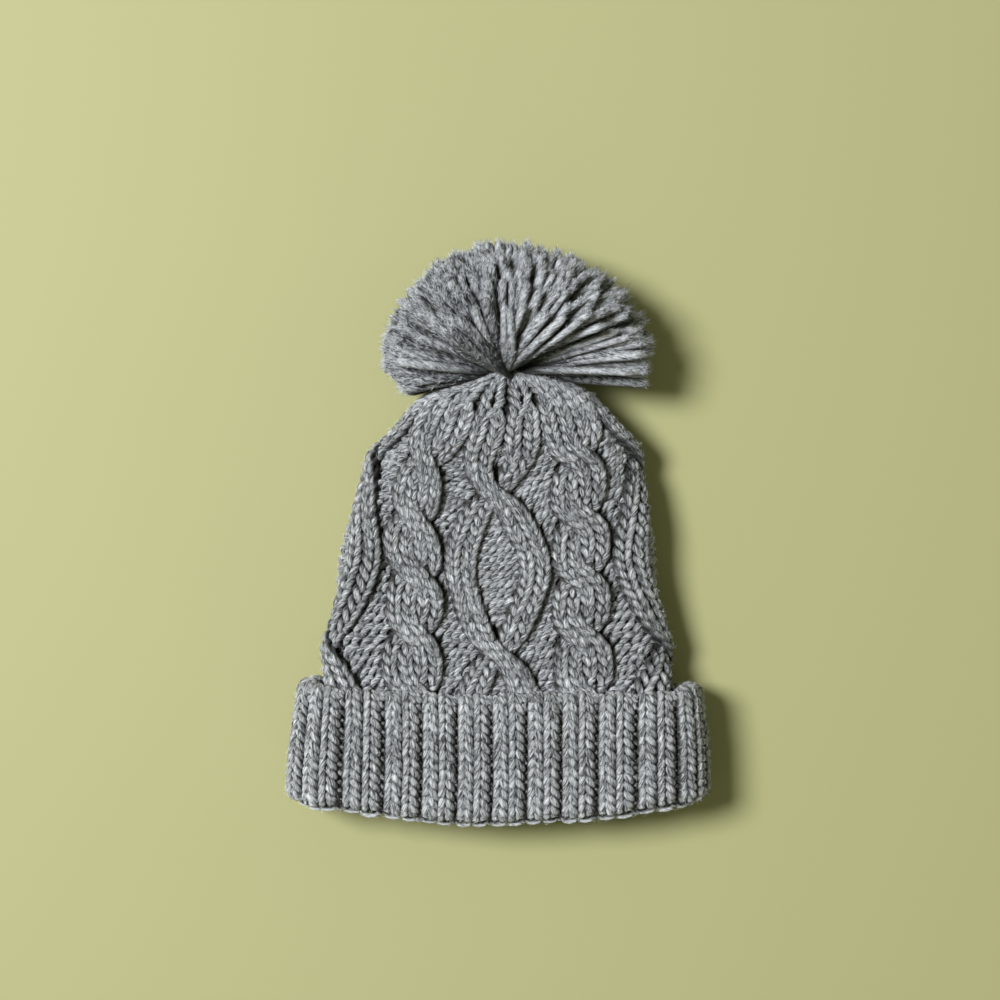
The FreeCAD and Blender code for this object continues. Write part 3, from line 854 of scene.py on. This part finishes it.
def band_skin():
    """Outside of the band, from the hem to the crown."""
    x_ref = np.arange(-RIB_ROUND / 2, RIB_ROUND / 2, GRID)
    f = np.linspace(-0.02, 1.02, 80)[:, None]
    width = band_high[0] - band_low[0] - 0.6 + 0 * f
    thick = band_high[2] - band_low[2] - 0.6 + 0 * f
    per = stadium_round(width, thick)
    s = spread(x_ref[None, :], RIB_ROUND / 4, per, per / RIB_ROUND)
    x, z = stadium(s, width, thick, (band_high[2] + band_low[2]) / 2 + 0 * f)
    y = band_low[1] + 1 + (band_high[1] - band_low[1] - 1) * f + 0 * x
    return Skin(np.stack([x, y, z], -1), x_ref[0], GRID, f[0, 0] * 11, (f[1, 0] - f[0, 0]) * 11, 1)


def rib_columns(knit_high, purl_high, face, swell=None, shallow=0.0):
    """Columns of the rib, two knit and one purl, RIBS times round. face is -1 for the knitting's back."""
    off = np.array([-KNIT_W / 2, KNIT_W / 2, KNIT_W + PURL_W / 2])
    kinds = np.array([1, 1, -1]) * face
    highs = np.array([knit_high, knit_high, purl_high])
    widths = np.array([KNIT_W, KNIT_W, PURL_W])

    def place(col, v):
        return off[col % 3] + (col // 3) * RIB + RIB_PHASE - RIB_ROUND / 2 + 0 * v

    def kind(col, v):
        return kinds[col % 3] + 0 * v

    def base(col, v):
        return highs[col % 3] + shallow * (1 - ease(v, -0.5, 2.4)) * (col % 3 == 2)

    def wide(col, v):
        return widths[col % 3] + 0 * v

    return Columns(place, kind, base, wide, swell)


def rib_swell(col, x, v):
    off = ((x - RIB_PHASE + RIB / 2) % RIB - RIB / 2) / (RIB / 2)
    return 0.9 - 2.4 * off * off


def ridge_of(columns):
    """The turning ridge of the hem: a row of purl heads at one height."""
    return columns._replace(
        kind=lambda col, v: np.where(col % 3 == 2, -0.3, -1.0),
        base=lambda col, v: 0.7 + 0 * v + 0 * col,
        swell=None)


def knit_rib(name, skin, rows, columns, body, nodes, points, sides, slant, deep, depth, radius, seed,
             rolled=False):
    """Rows of rib, sunk depth into the skin. rolled is for an edge with little room in it."""
    order = list(range(3 * RIBS))
    batch, part = Yarns(), 1
    for row in rows:
        ridge = row == RIDGE_ROW
        r = float(row)
        row_seed = seed + row * 10
        if ridge:
            path = knit_row(r, ridge_of(columns), points, slant=0.0, reach=0.42, deep=2.1, seed=row_seed,
                            order=order, period=RIB_ROUND, tilt=0.1, head=1.1)
        else:
            path = knit_row(r, columns, points, slant, 0.95, deep, row_seed, order, RIB_ROUND)
        x, v, h, kind, w, sink = path
        thick = even_out(np.where(kind > 0, radius, radius * (0.62 if ridge else 0.70)))
        tone = 0.8 if ridge else 0.545 + 0.03 * rng.normal()
        lowest = -4.4 - 12.0 * ease(v, -0.5, 1.6) if rolled else -20.0
        lay_row(batch, skin, x, v, np.maximum(h - depth, lowest), thick, sides, seed + row, tone, sink)
        if batch.triangles() > MOST_TRIANGLES or row == rows[-1]:
            batch.fuzz(3800, 2.3, seed + 40 + part)
            place_piece(batch.build(f"{name}_{part}", rib_wool), body, nodes)
            batch, part = Yarns(), part + 1


cuff = cuff_skin()
cuff_columns = rib_columns(-0.2, -4.8, 1, rib_swell, shallow=3.6)
knit_rib("cuff_rib", cuff, range(-2, 13), cuff_columns, "cuff", ["turned_up_cuff"],
         points=16, sides=12, slant=1.6, deep=2.3, depth=4.3, radius=2.0, seed=3000, rolled=True)
knit_rib("hem_fold", cuff, range(13, 19), cuff_columns, "cuff", ["cuff_fold"],
         points=14, sides=10, slant=1.2, deep=2.0, depth=4.3, radius=1.95, seed=5000)
v_cuff = np.linspace(-0.8, 12.6, 40)
d_cuff = 7.4 - 3.2 * (1 - ease(v_cuff, -0.8, 2.2))
place_piece(wall("cuff_backing", cuff, v_cuff, -d_cuff, -d_cuff - 0.6),
            "cuff", ["turned_up_cuff"])
v_fold = np.linspace(12.7, 18.2, 30)
place_piece(wall("fold_backing", cuff, v_fold, -6.0, -6.6), "cuff", ["cuff_fold"])

band = band_skin()
knit_rib("band_rib", band, range(1, 12), rib_columns(-1.0, 0.8, -1), "crown", ["brim_band"],
         points=12, sides=8, slant=-1.2, deep=1.9, depth=4.4, radius=2.0, seed=7000)
v_band = np.linspace(0.2, 11, 24)
place_piece(wall("band_backing", band, v_band, -4.2, -4.8), "crown", ["brim_band"])


# ---------------- the ties


def wound_ring(low, high, inset, thick, wraps, phase=0):
    """Turns of yarn side by side round the hat's long axis, in the box from low to high."""
    yarns = Yarns()
    centre = (low + high) / 2
    radius = (high[0] - low[0]) / 2 - inset
    a = np.linspace(0, TAU, 90, endpoint=False)
    for k in range(wraps):
        off = (k - (wraps - 1) / 2) * thick * 1.5
        r = radius + 0.25 * np.sin(3 * a + phase + k)
        y = centre[1] + off + 0.3 * np.sin(2 * a + k)
        line = np.stack([centre[0] + r * np.cos(a), y, centre[2] + r * np.sin(a)], -1)
        yarns.add(line, np.array([[0.0, 1.0, 0.0]]), thick, 12, True, start=50 * k)
    return yarns


def tie_yarns():
    """The tie inside the crown: three yarns laid round each other."""
    yarns = Yarns()
    middle = (cord_low + cord_high) / 2
    q = np.linspace(0, 1, 40)
    for k in range(3):
        a = q * TAU * 2.2 + k * TAU / 3
        y = cord_low[1] + (cord_high[1] - cord_low[1]) * q
        line = np.stack([middle[0] + 1.05 * np.cos(a), y, middle[2] + 1.05 * np.sin(a)], -1)
        yarns.add(line, np.array([[0.0, 0.0, 1.0]]), 1.15, 10, False, start=30 * k)
    return yarns


def knotted_yarn():
    """The tie's knot: an overhand knot."""
    yarns = Yarns()
    middle = (knot_low + knot_high) / 2
    q = np.linspace(0, TAU, 120, endpoint=False)
    x, y = np.sin(q) + 2 * np.sin(2 * q), np.cos(q) - 2 * np.cos(2 * q)
    loop = np.stack([x, y, -1.2 * np.sin(3 * q)], -1) * 0.72 + middle
    yarns.add(loop, unit(loop - middle + 1e-3), 0.95, 10, True)
    return yarns


gather = wound_ring(gather_low, gather_high, 2, 1.25, 3)
place_piece(gather.build("gather_yarn", tie_wool), "crown", ["crown_gather"])
binding = wound_ring(ring_low, ring_high, 1.6, 1.1, 2, phase=2)
place_piece(binding.build("binding_yarn", tie_wool), "pom_neck", ["pom_binding"])
place_piece(tie_yarns().build("cord_yarn", tie_wool), "crown", ["tie_cord"])
place_piece(knotted_yarn().build("knot_yarn", tie_wool), "crown", ["anchor_knot"])


# ---------------- the pom

POM_ROOT = np.array([TIE_X, TIE_Y + 2.2, TIE_Z + 1])
POM_OVER = np.array([TIE_X + 4.0, TIE_Y - 2.5, TIE_Z + 8.5])  # where the yarns that cross the tie start
POM_YARNS = 520  # in the body of the pom, under its top layer
POM_LOWEST = -17  # elevation of its lowest yarns, in degrees
POM_TRIANGLES = 36000  # a piece of the pom ends with the yarn that passes this
# Places along a yarn, closer together at its cut end, and how full its radius is there.
ALONG = np.array([0, 0.05, 0.11, 0.19, 0.28, 0.38, 0.49, 0.60, 0.71, 0.81, 0.89, 0.945, 0.975, 0.992, 1.0])
BLUNT = np.ones(len(ALONG))
BLUNT[-3:] = 0.94, 0.68, 0.34


def steepest(azimuth):
    """Elevation of the pom's top layer: the fan is high in its middle and low at both sides."""
    return 50 - 33 * ease(np.abs(azimuth), 45, 92)


def pom_directions():
    """Azimuth, elevation, size, whether it is in the top layer, and start of each yarn."""
    k = np.arange(POM_YARNS) + 0.5
    golden = (math.sqrt(5) - 1) / 2
    azimuth = -101 + 194 * ((k * golden) % 1) + rng.normal(0, 1.6, POM_YARNS)
    azimuth += 2.2 * np.sin(np.radians(azimuth) * 16)
    low, high = np.sin(np.radians(POM_LOWEST)), np.sin(np.radians(steepest(azimuth) - 4))
    elevation = np.degrees(np.arcsin(low + (high - low) * k / POM_YARNS)) + rng.normal(0, 2.0, POM_YARNS)
    strands = [(azimuth[i], elevation[i], 1.0, False, POM_ROOT) for i in range(POM_YARNS)]
    for a in np.arange(-97, 94, 8.6):
        a = a + rng.normal(0, 1.2)
        strands.append((a, float(steepest(a)) + 2 + rng.normal(0, 3), 0.97, True, POM_ROOT))
    for a, e, size in ((-60.0, 44.0, 0.96), (-51.0, 49.0, 0.95), (-42.0, 53.0, 0.92)):
        strands.append((a, e, size, True, POM_OVER))
    return strands


def pom_reach(d):
    """How far the pom goes from its root in direction d: an egg that fills its box."""
    reach_x = (pom_high[0] - TIE_X + 1.5) if d[0] > 0 else (TIE_X - pom_low[0] - 1)
    reach_y = pom_high[1] - POM_ROOT[1] - 1
    reach_z = (pom_high[2] - TIE_Z) if d[2] > 0 else reach_y
    return 1 / math.sqrt((d[0] / reach_x) ** 2 + (d[1] / reach_y) ** 2 + (d[2] / reach_z) ** 2)


def pom_yarn(azimuth, elevation, size, top, start):
    """Line, radii, sideways direction and looseness of a cut yarn that rises and droops to its end."""
    t = ALONG
    a, e = math.radians(azimuth), math.radians(elevation)
    level = np.array([math.sin(a), math.cos(a), 0.0])
    side = np.array([math.cos(a), -math.sin(a), 0.0])
    d = level * math.cos(e) + np.array([0, 0, math.sin(e)])
    length = pom_reach(d)
    length *= size * (1 - abs(rng.normal(0, 0.045)))
    longer = 0.05 * float(ease(azimuth, 30, 60) * (1 - ease(azimuth, 75, 90)))
    length *= 1 - 0.16 * float(ease(-azimuth, 84, 102)) + longer
    rise = elevation + 8 + 14 * (elevation - POM_LOWEST) / 65 + rng.normal(0, 4) + (5 if top else 0)
    rise = math.radians(rise)
    mid_dir = level * math.cos(rise) + np.array([0, 0, math.sin(rise)])
    q = t[:, None]
    bend = POM_ROOT + mid_dir * length * 0.55 + side * rng.normal(0, 2.0)
    line = start * (1 - q) ** 2 + 2 * bend * q * (1 - q) + (POM_ROOT + d * length) * q * q
    line = line + side * (0.7 * rng.normal() * np.sin(5 * q + rng.uniform(0, TAU)) * q)
    loose = float(ease(-azimuth, -12, 35))
    thick = (2.3 + 0.45 * loose) * (1 + 0.09 * rng.normal())
    grown = 0.46 + 0.54 * ease(t, 0, 0.35) if top else 0.34 + 0.66 * ease(t, 0, 0.5)
    thick = thick * grown * (1 + 0.05 * np.sin(11 * t + rng.uniform(0, TAU))) * BLUNT
    line[:, 2] = np.maximum(line[:, 2], thick * 0.8 + 0.3)
    return line, thick, side, loose


def tip_hairs(batch, tips, seed, each=24):
    """The cut ends of the yarns open into short fibres."""
    r = np.random.default_rng(seed)
    at, way, thick = (np.repeat(np.array(c), each, 0) for c in zip(*tips))
    n = len(at)
    out = r.normal(size=(n, 3))
    out = unit(out - way * (out * way).sum(1, keepdims=True))
    off = np.sqrt(r.uniform(0, 1, (n, 1)))
    root = at + out * off * (thick[:, None] * 0.9) - way * r.uniform(0, 2.6, (n, 1)) * off
    tone = 0.8 + 0.35 * r.normal(size=n)
    yarn = np.stack([out[:, 0], out[:, 1], r.uniform(0, 900, n)], -1)
    batch.hairs(root, out, unit(way + 0.25 * off * out), 1.9, r, 0.085, 0.12, yarn, tone)


def pom_batch():
    return Yarns(twist=44, groove=0.06)


def pom_strands():
    """Cut yarns that fan out from the tie: thick soft ropes with blunt, woolly ends."""
    strands = pom_directions()
    batch, part, tips = pom_batch(), 1, []
    for i, strand in enumerate(strands):
        line, thick, side, loose = pom_yarn(*strand)
        ahead = unit(np.gradient(line, axis=0))
        up = unit(np.cross(side, ahead))
        top = strand[3]
        # Painted light and shade beside random tone: each yarn darker toward its root for the shade at the
        # tie, the top layer lighter where light falls on it, and the loose, open yarns darker for the shade
        # among their fibres.
        tone = 0.545 + 0.08 * rng.normal() + 0.2 * (ALONG - 0.7) + (0.05 if top else 0) - 0.215 * loose
        # Painted shade on each yarn, strongest at its root and on its underside.
        sink = (1.5 * (1 - ALONG) ** 2 + 0.12) * thick
        batch.add(line, up, thick, 10, False, tone=tone, start=i * 61.0, sink=sink)
        tips.append((line[-2], ahead[-2], thick[-4]))
        if batch.triangles() > POM_TRIANGLES or i == len(strands) - 1:
            batch.fuzz(6800, 2.8, 90 + part, thin=0.07, rise=0.13, painted_shade_limit=0.65, ahead=True)
            tip_hairs(batch, tips, 190 + part)
            place_piece(batch.build(f"pom_{part}", pom_wool), "pom", ["pom_strands"])
            batch, part, tips = pom_batch(), part + 1, []


pom_strands()


# ---------------- floor, light, camera, in metres


def make_floor(half=2.5):
    material, bsdf = new_material("pale_floor", 0.65)
    bsdf.inputs["Base Color"].default_value = (0.405, 0.408, 0.203, 1)
    bsdf.inputs["Specular IOR Level"].default_value = 0.4
    mesh = bpy.data.meshes.new("floor")
    corners = [(-half, -half, 0), (half, -half, 0), (half, half, 0), (-half, half, 0)]
    mesh.from_pydata(corners, [], [(0, 1, 2, 3)])
    mesh.materials.append(material)
    obj = bpy.data.objects.new("floor", mesh)
    bpy.context.scene.collection.objects.link(obj)


def area_light(name, size, energy, where, target):
    data = bpy.data.lights.new(name, "AREA")
    data.shape = "DISK"
    data.size = size
    data.energy = energy
    obj = bpy.data.objects.new(name, data)
    obj.location = where
    way = np.array(target, float) - np.array(where, float)
    obj.rotation_euler = Vector(way).to_track_quat("-Z", "Y").to_euler()
    bpy.context.scene.collection.objects.link(obj)


def from_angles(elevation, azimuth, distance):
    e, a = math.radians(elevation), math.radians(azimuth)
    level = distance * math.cos(e)
    return level * math.cos(a), level * math.sin(a), distance * math.sin(e)


make_floor()
area_light("key", 1.05, 113.0, from_angles(57, 160, 3.0), (0, 0, 0.02))
area_light("fill", 1.2, 5.0, (0.9, -2.2, 0.55), (0, 0, 0.03))
area_light("side", 1.4, 4.0, (2.6, 0.7, 0.6), (0, 0, 0.03))
world = bpy.data.worlds.new("soft_room")
world.use_nodes = True
world.node_tree.nodes["Background"].inputs["Color"].default_value = (1.0, 1.0, 0.60, 1)
world.node_tree.nodes["Background"].inputs["Strength"].default_value = 0.168
bpy.context.scene.world = world

# The camera looks straight down on the hat's middle height.
HAT_MIDDLE_Z = 0.025
CAMERA_DISTANCE = 1.281
cam_data = bpy.data.cameras.new("camera")
cam_data.sensor_width = 36
cam_data.lens = 85
cam_data.clip_end = 20
cam = bpy.data.objects.new("camera", cam_data)
cam.location = (0.0011, 0.0168, HAT_MIDDLE_Z + CAMERA_DISTANCE)
bpy.context.scene.collection.objects.link(cam)
bpy.context.scene.camera = cam
bpy.context.scene.view_settings.view_transform = "Standard"
